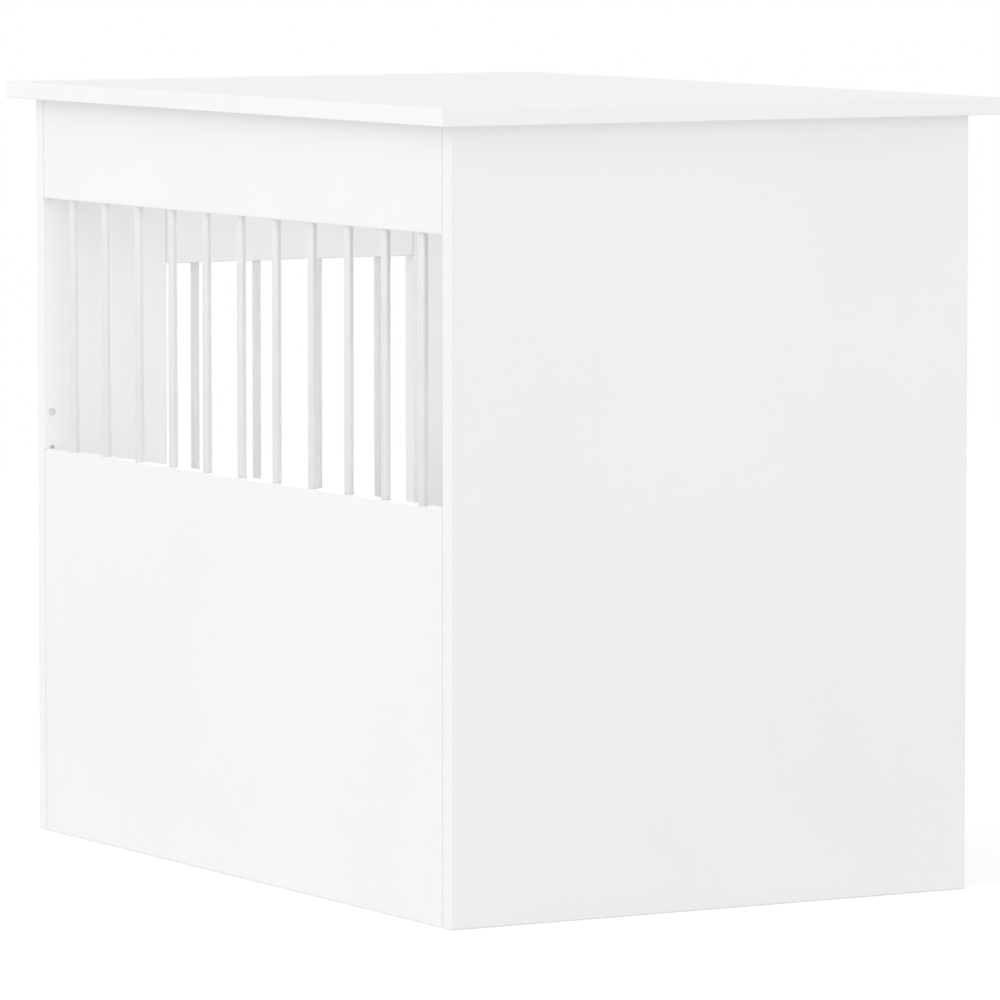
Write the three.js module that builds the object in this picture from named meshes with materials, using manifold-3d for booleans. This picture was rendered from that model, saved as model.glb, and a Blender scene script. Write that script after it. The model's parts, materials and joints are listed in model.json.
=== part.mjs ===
// A dog crate that doubles as an end table: a flat-pack cabinet of 15 mm white boards, with steel-barred
// windows in both long sides and a barred door on butt hinges, held by a small barrel bolt.
// Millimetres, +Z up. The origin is on the floor under the middle of the top, and the door faces -Y.
import * as THREE from "three";
import { mergeVertices } from "three/addons/utils/BufferGeometryUtils.js";
import Module from "manifold-3d";

const wasm = await Module();
wasm.setup();

// ---------------------------------------------------------------- driving dimensions

// The whole table
const topWidth = 547;
const topDepth = 800;
const overallHeight = 680;
const topThickness = 15;
const overhang = 20; // lip of the top past the cabinet, the same on all four sides
const boardThickness = 15;
const edgeEase = 0.6; // chamfer along every board edge, where the edge band is trimmed

// Carcass boards
const topRailHeight = 90;
const sidePanelHeight = 348;
const postWidth = 60;
const bottomRailHeight = 60;
const floorThickness = 15;

// Steel bars, in blind bores
const barDiameter = 8;
const sideBarCount = 11;
const sideBarMargin = 45; // from an opening's end to the middle of its first bar
const doorBarCount = 4;
const doorBarMargin = 33;
const barInsert = 10; // length of bar inside the board at each end
const barBoreClearance = 0.25; // radial
const barEndPlay = 0.5; // spare depth above a bar

// Door
const doorGap = 2.5; // all round the door
const doorStopGap = 0.5; // between the shut door and the front edge of the floor, its stop
const stileWidth = 62;
const doorRailHeight = 60;

// Butt hinges, screwed on the faces of the post and the door
const hingeHeight = 60;
const hingeInset = 70; // from the end of the door to the middle of a hinge
const leafWidth = 21; // from the pin's axis to the leaf's far edge
const leafThickness = 1.2;
const leafCorner = 3;
const knuckleRadius = 3;
const knuckleCount = 5; // odd: the post's leaf carries the first and the last
const knucklePlay = 0.3; // between neighbouring knuckles, and round them
const pinRadius = 1.5;
const pinClearance = 0.1;
const pinHeadRadius = 2.5;
const pinHeadHeight = 1.4;
const pinHeadEase = 0.5; // chamfer of the heads
const faceClearance = 0.2; // between the knuckles and the faces behind them
const hingeScrewEdge = 9; // from a leaf's end to the middle of its end screw
const hingeScrewRows = 3;
const hingeScrewInset = 6.5; // from the leaf's far edge to the outer screws
const hingeScrewStagger = 4; // how much nearer the pin the middle screw sits

// Barrel bolt
const latchHeight = 318; // height of the bolt above the floor
const latchSetback = 2.5; // from the door's edge to the base plate
const latchPlateLength = 48;
const latchPlateHeight = 30;
const latchPlateThickness = 1.2;
const latchCorner = 3;
const guideLength = 8;
const guideInset = 4; // from the plate's end to its guide
const guideWall = 1.2;
const boltRadius = 3;
const boltClearance = 0.35;
const boltLength = 60;
const boltTipSetback = 1.5; // how far inside the door's edge the tip rests when drawn back
const boltNose = 1.5; // length of the rounded tip
const boltTailEase = 0.5; // chamfer of the tail
const knobStemRadius = 2.5;
const knobStemOffset = 4; // from the rear guide to the middle of the knob, drawn back
const knobHeadRadius = 4.8;
const knobHeadHeight = 5.5;
const knobHeadEase = 0.6; // chamfer under the head
const knobCrown = 1.6; // height of the head's domed top
const knobReach = 18; // from the door's face to the top of the knob
const keeperPlateLength = 16;
const keeperPlateHeight = 36;
const keeperSetback = 3; // from the post's edge to the keeper
const keeperLength = 8;
const keeperWall = 1.2;
const keeperClearance = 0.6; // round the bolt, on each side

// Screw holes of the small hardware, countersunk
const screwHoleRadius = 1.8;
const screwHeadRadius = 3.3;
const screwEndMargin = 1.5; // from a plate's end to the rim of the nearest screw
const screwSideMargin = 1; // the same from the base plate's long sides

// Knock-down fittings: cams in the hidden faces, whose bolts run into the next board, and dowels
const camDiameter = 15;
const camDepth = 12.5;
const camSetback = 34; // from the joint to the middle of the cam
const camEdge = 32; // from a board's edge to the line of its end cams
const camSpread = 400; // between the two cams that pull each rail up to the top
const camSpreadShort = 300; // the same along the back panel
const floorCamSpread = 440;
const frontCamEnd = 30; // from either end of a post to the cams of the rails over and under the door
const boltRunDiameter = 8; // of a bolt's way from the joint to its cam
const boltThreadDiameter = 5;
const dowelDiameter = 8;
const dowelBoreDepth = 22; // in the board that holds the cams
const fittingPitch = 32; // between a cam bolt and its dowel
const fittingBoreDepth = 12; // of bolts and dowels in the next board

// Facets of the round work
const barSides = 16;
const boreSides = 12;
const smallSides = 12;
const barrelSides = 20;
const cornerSides = 3; // of a plate's quarter-round corner
const archSides = 8; // of a guide's half-round top
const domeSides = 4; // from the rim of a dome to its top

// How far a cutter runs out past the surface that it starts on
const overrun = 1;

// ---------------------------------------------------------------- places that follow from them

const bodyWidth = topWidth - 2 * overhang;
const bodyDepth = topDepth - 2 * overhang;
const bodyHeight = overallHeight - topThickness;
const sideX = bodyWidth / 2; // outer face of the right-hand side
const frontY = -bodyDepth / 2; // outer face of the front
const backY = bodyDepth / 2;
const innerX = sideX - boardThickness;
const innerFrontY = frontY + boardThickness;
const innerBackY = backY - boardThickness;
const innerDepth = innerBackY - innerFrontY;
const railBottomZ = bodyHeight - topRailHeight;
const sideOpening = railBottomZ - sidePanelHeight;

const doorwayWidth = bodyWidth - 2 * postWidth;
const doorWidth = doorwayWidth - 2 * doorGap;
const doorBottomZ = bottomRailHeight + doorGap;
const doorHeight = railBottomZ - doorGap - doorBottomZ;
const doorWindowWidth = doorWidth - 2 * stileWidth;
const doorWindowHeight = doorHeight - 2 * doorRailHeight;
const panelMidInset = boardThickness / 2; // bars and fittings run in the middle of a board
const panelMidX = sideX - panelMidInset;

const floorDepth = innerDepth - doorStopGap; // it stands just behind the shut door, which it stops
const floorY = innerBackY - floorDepth / 2;
const floorZ = bottomRailHeight + floorThickness / 2;

const hingeAxisX = -(doorWidth + doorGap) / 2; // in the middle of the gap on the hinge side
const hingeAxisDrop = knuckleRadius + faceClearance; // from the faces to the pin
const hingeAxisY = frontY - hingeAxisDrop;
const knuckleLength = hingeHeight / knuckleCount;

const boltAxisDrop = latchPlateThickness + boltClearance + boltRadius;
const guideOuterRadius = boltRadius + boltClearance + guideWall;

const steelGrey = 0xd9dadb;
const nickelGrey = 0xcfd0d1;
const boardWhite = 0xf4f4f3;
const materials = {
  board: new THREE.MeshStandardMaterial({ color: boardWhite, roughness: 0.55, metalness: 0 }),
  bar: new THREE.MeshStandardMaterial({ color: steelGrey, roughness: 0.35, metalness: 0.9 }),
  hardware: new THREE.MeshStandardMaterial({ color: nickelGrey, roughness: 0.3, metalness: 1 }),
};

// ---------------------------------------------------------------- solids

function solidOf(geometry) {
  const bare = geometry.clone();
  bare.deleteAttribute("normal");
  bare.deleteAttribute("uv");
  const merged = mergeVertices(bare, 1e-4);
  return new wasm.Manifold(
    new wasm.Mesh({
      numProp: 3,
      vertProperties: merged.attributes.position.array,
      triVerts: new Uint32Array(merged.index.array),
    }),
  );
}

function geometryOf(solid) {
  const mesh = solid.getMesh();
  const geometry = new THREE.BufferGeometry();
  geometry.setAttribute("position", new THREE.BufferAttribute(mesh.vertProperties, 3));
  geometry.setIndex(new THREE.BufferAttribute(mesh.triVerts, 1));
  const faceted = geometry.toNonIndexed();
  faceted.computeVertexNormals();
  return faceted;
}

function piece(name, shape, material, x, y, z) {
  const geometry = shape.isBufferGeometry ? shape : geometryOf(shape);
  const mesh = new THREE.Mesh(geometry, material);
  mesh.name = name;
  mesh.position.set(x, y, z);
  return mesh;
}

// A board centred on its own middle, with every edge eased.
function board(width, depth, height) {
  const x = width / 2;
  const y = depth / 2;
  const outline = new THREE.Shape([
    new THREE.Vector2(-x + edgeEase, -y),
    new THREE.Vector2(x - edgeEase, -y),
    new THREE.Vector2(x, -y + edgeEase),
    new THREE.Vector2(x, y - edgeEase),
    new THREE.Vector2(x - edgeEase, y),
    new THREE.Vector2(-x + edgeEase, y),
    new THREE.Vector2(-x, y - edgeEase),
    new THREE.Vector2(-x, -y + edgeEase),
  ]);
  const straight = height - 2 * edgeEase;
  const geometry = new THREE.ExtrudeGeometry(outline, {
    depth: straight,
    bevelEnabled: true,
    bevelThickness: edgeEase,
    bevelSize: edgeEase,
    bevelOffset: -edgeEase,
    bevelSegments: 1,
  });
  return solidOf(geometry.translate(0, 0, -straight / 2));
}

// The cutter for a flat-bottomed bore: mouth is a point on the surface, and into is the way the drill goes.
function bore(mouth, into, diameter, depth, sides = smallSides) {
  const cutter = new THREE.CylinderGeometry(diameter / 2, diameter / 2, depth + overrun, sides);
  const direction = new THREE.Vector3(...into);
  const turn = new THREE.Quaternion().setFromUnitVectors(new THREE.Vector3(0, 1, 0), direction);
  const middle = new THREE.Vector3(...mouth).addScaledVector(direction, (depth - overrun) / 2);
  return solidOf(cutter.applyQuaternion(turn).translate(middle.x, middle.y, middle.z));
}

function cut(solid, cutters) {
  return cutters.reduce((left, cutter) => left.subtract(cutter), solid);
}

function joined(solids) {
  return solids.reduce((whole, next) => whole.add(next));
}

// The outline of a dome in a turned profile: a quarter of an ellipse from the rim up to the axis.
function dome(radius, rim, height) {
  return Array.from({ length: domeSides + 1 }, (_, i) => {
    const angle = ((i / domeSides) * Math.PI) / 2;
    return i < domeSides ? [radius * Math.cos(angle), rim + height * Math.sin(angle)] : [0, rim + height];
  });
}

// A solid turned about the y axis, from a profile of radii and heights.
function turned(profile) {
  return new THREE.LatheGeometry(profile.map(([r, s]) => new THREE.Vector2(r, s)), barrelSides);
}

// An upright rod or bore, with its facets turned alike wherever it stands.
function upright(radius, length, sides, z = 0) {
  return new THREE.CylinderGeometry(radius, radius, length, sides).rotateX(Math.PI / 2).translate(0, 0, z);
}

// ---------------------------------------------------------------- bars and their bores

// Where the bars of an opening stand, evenly spread between its margins and counted from its middle.
function barPlaces(opening, count, margin) {
  const pitch = (opening - 2 * margin) / (count - 1);
  return Array.from({ length: count }, (_, i) => (i - (count - 1) / 2) * pitch);
}

// Cutters for a row of bores in a board's edge, at edgeZ, going down (-1) or up (+1) into it.
function barBores(places, along, edgeZ, way) {
  const depth = way > 0 ? barInsert + barEndPlay : barInsert;
  return places.map((place) => {
    const cutter = upright(barDiameter / 2 + barBoreClearance, depth + overrun, boreSides);
    const z = edgeZ + (way * (depth - overrun)) / 2;
    return solidOf(along === "y" ? cutter.translate(0, place, z) : cutter.translate(place, 0, z));
  });
}

const sideBarPlaces = barPlaces(innerDepth, sideBarCount, sideBarMargin);
const doorBarPlaces = barPlaces(doorWindowWidth, doorBarCount, doorBarMargin);

function bar(name, opening, x, y, sillZ) {
  const length = opening + 2 * barInsert;
  const rod = upright(barDiameter / 2, length, barSides);
  return piece(name, rod, materials.bar, x, y, sillZ - barInsert + length / 2);
}

// ---------------------------------------------------------------- carcass

// Cam bores in a board's face. Each place is given along the board and up it, and the face points
// along +x, -x, +y, -y or -z; at is the face's distance from the board's middle.
function camBores(places, face, at) {
  const mouths = {
    "+x": ([s, t]) => [[at, s, t], [-1, 0, 0]],
    "-x": ([s, t]) => [[-at, s, t], [1, 0, 0]],
    "+y": ([s, t]) => [[s, at, t], [0, -1, 0]],
    "-y": ([s, t]) => [[s, -at, t], [0, 1, 0]],
    "-z": ([s, t]) => [[s, t, -at], [0, 0, 1]],
  };
  return places.map((place) => bore(...mouths[face](place), camDiameter, camDepth, boreSides));
}

// A bolt's way from the joint to its cam, and the bore for its thread in the next board.
const boltRun = (mouth, into) => bore(mouth, into, boltRunDiameter, camSetback);
const boltEnd = (mouth, into) => bore(mouth, into, boltThreadDiameter, fittingBoreDepth);

// The cam bolts and dowels at each end of a side panel and of a side rail: what they are and how high.
const panelFittings = [
  ["bolt", camEdge],
  ["dowel", camEdge + fittingPitch],
  ["dowel", sidePanelHeight - camEdge - fittingPitch],
  ["bolt", sidePanelHeight - camEdge],
];
const railFittings = [
  ["dowel", bodyHeight - camEdge - fittingPitch],
  ["bolt", bodyHeight - camEdge],
];

// Bores for those in both ends of the side board, whose middle is at middleZ.
function endBores(fittings, middleZ) {
  return [-1, 1].flatMap((end) =>
    fittings.map(([kind, z]) => {
      const at = [[0, (end * innerDepth) / 2, z - middleZ], [0, -end, 0]];
      return kind === "bolt" ? boltRun(...at) : bore(...at, dowelDiameter, dowelBoreDepth);
    }),
  );
}

// Bores that take them in a full-height board, at x. Its inner face is at way * boardThickness / 2.
function fittingBores(fittings, x, way) {
  return fittings.map(([kind, z]) => {
    const mouth = [x, (way * boardThickness) / 2, z - bodyHeight / 2];
    const diameter = kind === "bolt" ? boltThreadDiameter : dowelDiameter;
    return bore(mouth, [0, -way, 0], diameter, fittingBoreDepth, barrelSides);
  });
}

// The top is bolted down from the two side rails and the back panel.
function topBoard() {
  const under = -topThickness / 2;
  const overRails = [-1, 1].flatMap((side) =>
    [-1, 1].map((end) => [side * panelMidX, (end * camSpread) / 2, under]),
  );
  const overBack = [-1, 1].map((side) => [(side * camSpreadShort) / 2, backY - panelMidInset, under]);
  const bores = [...overRails, ...overBack].map((mouth) => boltEnd(mouth, [0, 0, 1]));
  const solid = cut(board(topWidth, topDepth, topThickness), bores);
  return piece("top_board", solid, materials.board, 0, 0, bodyHeight + topThickness / 2);
}

function backPanel() {
  const edge = bodyHeight / 2;
  const places = [-1, 1].map((way) => [(way * camSpreadShort) / 2, edge - camSetback]);
  const fittings = [...panelFittings, ...railFittings];
  const solid = cut(board(bodyWidth, boardThickness, bodyHeight), [
    ...camBores(places, "-y", boardThickness / 2),
    ...places.map(([x]) => boltRun([x, 0, edge], [0, 0, -1])),
    ...[-panelMidX, panelMidX].flatMap((x) => fittingBores(fittings, x, -1)),
  ]);
  return piece("back_panel", solid, materials.board, 0, backY - boardThickness / 2, bodyHeight / 2);
}

// Both posts are the same board, one turned end for end, so each is drilled for its side panel twice
// over: the pair of bores just above the side panel is the spare one, and shows in the window.
function frontPost(name, hand) {
  const turnedOver = panelFittings.map(([kind, z]) => [kind, bodyHeight - z]);
  const x = hand * (postWidth / 2 - panelMidInset);
  const edge = -hand * (postWidth / 2);
  const high = bodyHeight / 2 - frontCamEnd;
  const solid = cut(board(postWidth, boardThickness, bodyHeight), [
    ...fittingBores([...panelFittings, ...turnedOver], x, 1),
    ...[-high, high].map((z) => boltEnd([edge, 0, z], [hand, 0, 0])),
  ]);
  const postX = hand * (sideX - postWidth / 2);
  return piece(name, solid, materials.board, postX, frontY + boardThickness / 2, bodyHeight / 2);
}

function frontRail(name, height, bottomZ, camZ) {
  const z = camZ - bottomZ - height / 2;
  const cams = [-1, 1].map((way) => [way * (doorwayWidth / 2 - camSetback), z]);
  const solid = cut(board(doorwayWidth, boardThickness, height), [
    ...camBores(cams, "+y", boardThickness / 2),
    ...[-1, 1].map((way) => boltRun([(way * doorwayWidth) / 2, 0, z], [-way, 0, 0])),
  ]);
  return piece(name, solid, materials.board, 0, frontY + boardThickness / 2, bottomZ + height / 2);
}

function sideRail(name, hand) {
  const middleZ = railBottomZ + topRailHeight / 2;
  const edge = topRailHeight / 2;
  const ends = [-1, 1].map((way) => [way * (innerDepth / 2 - camSetback), edge - camEdge]);
  const lifts = [-1, 1].map((way) => [(way * camSpread) / 2, edge - camSetback]);
  const inner = hand > 0 ? "-x" : "+x";
  const solid = cut(board(boardThickness, innerDepth, topRailHeight), [
    ...barBores(sideBarPlaces, "y", -edge, 1),
    ...camBores([...ends, ...lifts], inner, boardThickness / 2),
    ...endBores(railFittings, middleZ),
    ...lifts.map(([y]) => boltRun([0, y, edge], [0, 0, -1])),
  ]);
  return piece(name, solid, materials.board, hand * panelMidX, 0, middleZ);
}

// The side panels hold the floor up by its bolts.
function sidePanel(name, hand) {
  const middleZ = sidePanelHeight / 2;
  const high = middleZ - camEdge;
  const cams = [-1, 1].flatMap((end) => [-high, high].map((z) => [end * (innerDepth / 2 - camSetback), z]));
  const inner = hand > 0 ? "-x" : "+x";
  const floorBolts = [-1, 1].map((end) => {
    const y = floorY + (end * floorCamSpread) / 2;
    return boltEnd([(-hand * boardThickness) / 2, y, floorZ - middleZ], [hand, 0, 0]);
  });
  const solid = cut(board(boardThickness, innerDepth, sidePanelHeight), [
    ...barBores(sideBarPlaces, "y", sidePanelHeight / 2, -1),
    ...camBores(cams, inner, boardThickness / 2),
    ...endBores(panelFittings, middleZ),
    ...floorBolts,
  ]);
  return piece(name, solid, materials.board, hand * panelMidX, 0, middleZ);
}

function floorPanel() {
  const ends = [-floorCamSpread / 2, floorCamSpread / 2];
  const cams = [-1, 1].flatMap((side) => ends.map((y) => [side * (innerX - camSetback), y]));
  const runs = [-1, 1].flatMap((side) => ends.map((y) => boltRun([side * innerX, y, 0], [-side, 0, 0])));
  const solid = cut(board(2 * innerX, floorDepth, floorThickness), [
    ...camBores(cams, "-z", floorThickness / 2),
    ...runs,
  ]);
  return piece("floor_panel", solid, materials.board, 0, floorY, floorZ);
}

function sideBars(side, hand) {
  return sideBarPlaces.map((y, i) => {
    const name = `side_bar_${side}_${String(i + 1).padStart(2, "0")}`;
    return bar(name, sideOpening, hand * panelMidX, y, sidePanelHeight);
  });
}

function carcass() {
  const group = new THREE.Group();
  group.add(topBoard(), backPanel(), floorPanel());
  group.add(frontRail("front_top_rail", topRailHeight, railBottomZ, bodyHeight - frontCamEnd));
  group.add(frontRail("front_bottom_rail", bottomRailHeight, 0, frontCamEnd));
  for (const [side, hand] of [["left", -1], ["right", 1]]) {
    group.add(frontPost(`front_post_${side}`, hand));
    group.add(sideRail(`side_rail_${side}`, hand), sidePanel(`side_panel_${side}`, hand));
    group.add(...sideBars(side, hand));
  }
  return group;
}

// ---------------------------------------------------------------- door

function doorFrame() {
  const group = new THREE.Group();
  const y = frontY + boardThickness / 2;
  const middleZ = doorBottomZ + doorHeight / 2;
  for (const [end, hand] of [["hinge", -1], ["latch", 1]]) {
    const stile = board(stileWidth, boardThickness, doorHeight);
    const x = hand * (doorWidth - stileWidth) / 2;
    group.add(piece(`door_stile_${end}`, stile, materials.board, x, y, middleZ));
  }
  for (const [level, way] of [["top", 1], ["bottom", -1]]) {
    const rail = board(doorWindowWidth, boardThickness, doorRailHeight);
    const bores = barBores(doorBarPlaces, "x", (-way * doorRailHeight) / 2, way);
    const z = middleZ + (way * (doorHeight - doorRailHeight)) / 2;
    group.add(piece(`door_${level}_rail`, cut(rail, bores), materials.board, 0, y, z));
  }
  const sillZ = doorBottomZ + doorRailHeight;
  doorBarPlaces.forEach((x, i) => group.add(bar(`door_bar_${i + 1}`, doorWindowHeight, x, y, sillZ)));
  return group;
}

// ---------------------------------------------------------------- small hardware

// A flat plate in the x-z plane, with its back at y 0 and its face at -thickness. The corners at its
// left and right ends are rounded, and a radius of 0 leaves them square.
function plate(left, right, bottom, top, leftCorner, rightCorner, thickness) {
  const outline = new THREE.Shape();
  const corners = [
    [right, bottom, 1, -1, rightCorner, -Math.PI / 2],
    [right, top, 1, 1, rightCorner, 0],
    [left, top, -1, 1, leftCorner, Math.PI / 2],
    [left, bottom, -1, -1, leftCorner, Math.PI],
  ];
  corners.forEach(([x, z, outX, outZ, radius, from], i) => {
    if (radius > 0) {
      outline.absarc(x - outX * radius, z - outZ * radius, radius, from, from + Math.PI / 2, false);
    } else if (i === 0) {
      outline.moveTo(x, z);
    } else {
      outline.lineTo(x, z);
    }
  });
  const geometry = new THREE.ExtrudeGeometry(outline, {
    depth: thickness,
    bevelEnabled: false,
    curveSegments: cornerSides,
  });
  return solidOf(geometry.rotateX(Math.PI / 2));
}

// The cutter for a countersunk screw hole through a plate whose face is at -thickness.
function screwHole(x, z, thickness) {
  const slope = (screwHeadRadius - screwHoleRadius) / thickness;
  const profile = [
    new THREE.Vector2(0, -overrun),
    new THREE.Vector2(screwHoleRadius, -overrun),
    new THREE.Vector2(screwHoleRadius, 0),
    new THREE.Vector2(screwHeadRadius + slope * overrun, thickness + overrun),
    new THREE.Vector2(0, thickness + overrun),
  ];
  const cutter = new THREE.LatheGeometry(profile, smallSides).rotateX(Math.PI);
  return solidOf(cutter.translate(x, 0, z));
}

// One leaf of a butt hinge about its pin, which is the z axis. hand is the way the leaf points along x,
// and its knuckles are those whose number is even (parity 0) or odd (parity 1), counted from below.
function hingeLeaf(hand, parity) {
  const half = hingeHeight / 2;
  const flat =
    hand > 0
      ? plate(0, leafWidth, -half, half, 0, leafCorner, leafThickness)
      : plate(-leafWidth, 0, -half, half, leafCorner, 0, leafThickness);
  const own = [];
  const others = [];
  for (let i = 0; i < knuckleCount; i += 1) {
    const z = -half + (i + 0.5) * knuckleLength;
    const mine = i % 2 === parity;
    const radius = mine ? knuckleRadius : knuckleRadius + knucklePlay;
    const length = mine ? knuckleLength - knucklePlay : knuckleLength + knucklePlay;
    (mine ? own : others).push(solidOf(upright(radius, length, barrelSides, z)));
  }
  const holes = Array.from({ length: hingeScrewRows }, (_, i) => {
    const reach = half - hingeScrewEdge;
    const t = (2 * i) / (hingeScrewRows - 1) - 1;
    const inset = hingeScrewInset + (i % 2) * hingeScrewStagger;
    return screwHole(hand * (leafWidth - inset), t * reach, leafThickness);
  });
  const blade = cut(flat, holes).translate(0, hingeAxisDrop, 0);
  const pinBore = solidOf(upright(pinRadius + pinClearance, hingeHeight + 2 * overrun, barrelSides));
  return cut(joined([cut(blade, others), ...own]), [pinBore]);
}

// The pin, with a flat head on each end that keeps it in the knuckles.
function hingePin() {
  const shank = hingeHeight / 2;
  const end = shank + pinHeadHeight;
  return turned([
    [0, -end],
    [pinHeadRadius - pinHeadEase, -end],
    [pinHeadRadius, -end + pinHeadEase],
    [pinHeadRadius, -shank],
    [pinRadius, -shank],
    [pinRadius, shank],
    [pinHeadRadius, shank],
    [pinHeadRadius, end - pinHeadEase],
    [pinHeadRadius - pinHeadEase, end],
    [0, end],
  ]).rotateX(Math.PI / 2);
}

function hinges() {
  const fixed = new THREE.Group();
  const moving = new THREE.Group();
  const heights = [["lower", doorBottomZ + hingeInset], ["upper", doorBottomZ + doorHeight - hingeInset]];
  for (const [level, z] of heights) {
    const at = [materials.hardware, hingeAxisX, hingeAxisY, z];
    fixed.add(piece(`hinge_${level}_post_leaf`, hingeLeaf(-1, 0), ...at));
    fixed.add(piece(`hinge_${level}_pin`, hingePin(), ...at));
    moving.add(piece(`hinge_${level}_door_leaf`, hingeLeaf(1, 1), ...at));
  }
  return { fixed, moving };
}

// A round-topped bridge over the bolt, open along x and standing on the face at y 0.
function guide(middleX, length) {
  const outside = new THREE.Shape();
  outside.moveTo(-guideOuterRadius, 0);
  outside.lineTo(guideOuterRadius, 0);
  outside.lineTo(guideOuterRadius, boltAxisDrop);
  outside.absarc(0, boltAxisDrop, guideOuterRadius, 0, Math.PI, false);
  const channelRadius = boltRadius + boltClearance;
  const inside = new THREE.Shape();
  inside.moveTo(-channelRadius, latchPlateThickness);
  inside.lineTo(channelRadius, latchPlateThickness);
  inside.lineTo(channelRadius, boltAxisDrop);
  inside.absarc(0, boltAxisDrop, channelRadius, 0, Math.PI, false);
  const along = new THREE.Matrix4().makeBasis(
    new THREE.Vector3(0, 0, 1),
    new THREE.Vector3(0, -1, 0),
    new THREE.Vector3(1, 0, 0),
  );
  const drawn = (shape, run) =>
    solidOf(
      new THREE.ExtrudeGeometry(shape, { depth: run, bevelEnabled: false, curveSegments: archSides })
        .translate(0, 0, -run / 2)
        .applyMatrix4(along)
        .translate(middleX, 0, 0),
    );
  return { wall: drawn(outside, length), channel: drawn(inside, length + 2 * overrun) };
}

function latchBase() {
  const half = latchPlateLength / 2;
  const tall = latchPlateHeight / 2;
  const flat = plate(-half, half, -tall, tall, latchCorner, latchCorner, latchPlateThickness);
  const reach = half - guideInset - guideLength / 2;
  const guides = [-reach, reach].map((x) => guide(x, guideLength));
  const solid = cut(joined([flat, ...guides.map((g) => g.wall)]), guides.map((g) => g.channel));
  const screwX = half - screwHeadRadius - screwEndMargin;
  const screwZ = tall - screwHeadRadius - screwSideMargin;
  const corners = [[-1, -1], [-1, 1], [1, -1], [1, 1]];
  const holes = corners.map(([i, j]) => screwHole(i * screwX, j * screwZ, latchPlateThickness));
  return cut(solid, holes);
}

// The bolt about its own axis, with its knob over x 0 and its tail at x -tail.
function latchBolt(tail) {
  const shaft = turned([
    [0, 0],
    [boltRadius - boltTailEase, 0],
    [boltRadius, boltTailEase],
    ...dome(boltRadius, boltLength - boltNose, boltNose),
  ]);
  const top = knobReach - boltAxisDrop;
  const shoulder = top - knobHeadHeight;
  const knob = turned([
    [0, 0],
    [knobStemRadius, 0],
    [knobStemRadius, shoulder],
    [knobHeadRadius - knobHeadEase, shoulder],
    [knobHeadRadius, shoulder + knobHeadEase],
    ...dome(knobHeadRadius, top - knobCrown, knobCrown),
  ]);
  const lying = shaft.rotateZ(-Math.PI / 2).translate(-tail, 0, 0);
  return joined([solidOf(lying), solidOf(knob.rotateX(Math.PI))]);
}

// The keeper is a square staple on a plate, roomier than the guides, so that the bolt finds its way in.
function latchKeeper() {
  const half = keeperPlateLength / 2;
  const tall = keeperPlateHeight / 2;
  const flat = plate(-half, half, -tall, tall, latchCorner, latchCorner, latchPlateThickness);
  const roomRadius = boltRadius + keeperClearance;
  const roomTop = boltAxisDrop + roomRadius;
  const wallRadius = roomRadius + keeperWall;
  const staple = (x, z, bottom, top) =>
    solidOf(new THREE.BoxGeometry(2 * x, top - bottom, 2 * z).translate(0, -(top + bottom) / 2, 0));
  const wall = staple(keeperLength / 2, wallRadius, 0, roomTop + keeperWall);
  const room = staple(keeperLength / 2 + overrun, roomRadius, latchPlateThickness, roomTop);
  const screwZ = tall - screwHeadRadius - screwEndMargin;
  const holes = [-screwZ, screwZ].map((z) => screwHole(0, z, latchPlateThickness));
  return cut(joined([flat, wall]), [room, ...holes]);
}

function latch() {
  const doorEdgeX = doorWidth / 2;
  const baseX = doorEdgeX - latchSetback - latchPlateLength / 2;
  const knobX = baseX - latchPlateLength / 2 + guideInset + guideLength + knobStemOffset;
  const tail = knobX - (doorEdgeX - boltTipSetback - boltLength);
  const keeperX = doorwayWidth / 2 + keeperSetback + keeperPlateLength / 2;
  const boltY = frontY - boltAxisDrop;
  return {
    base: piece("latch_base", latchBase(), materials.hardware, baseX, frontY, latchHeight),
    bolt: piece("latch_bolt", latchBolt(tail), materials.hardware, knobX, boltY, latchHeight),
    keeper: piece("latch_keeper", latchKeeper(), materials.hardware, keeperX, frontY, latchHeight),
  };
}

// ---------------------------------------------------------------- assembly

const crate = new THREE.Group();
const { fixed, moving } = hinges();
const { base, bolt, keeper } = latch();
const door = doorFrame();
door.add(moving, base, bolt);
crate.add(carcass(), door, fixed, keeper);

export default crate;
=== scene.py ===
"""The looks of a dog crate end table: a white board cabinet with steel-barred windows and a barred door.

Every length is in metres, in the row's frame: +Z up, the door faces -Y, the origin is on the floor under
the middle of the top. The boards are the frame's own solids. The bars, the hinges and the barrel bolt are
finer surfaces that stand for their solids. The screws, the cam locks and the drillings' cups are new pieces.
"""
import json
import math

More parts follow.
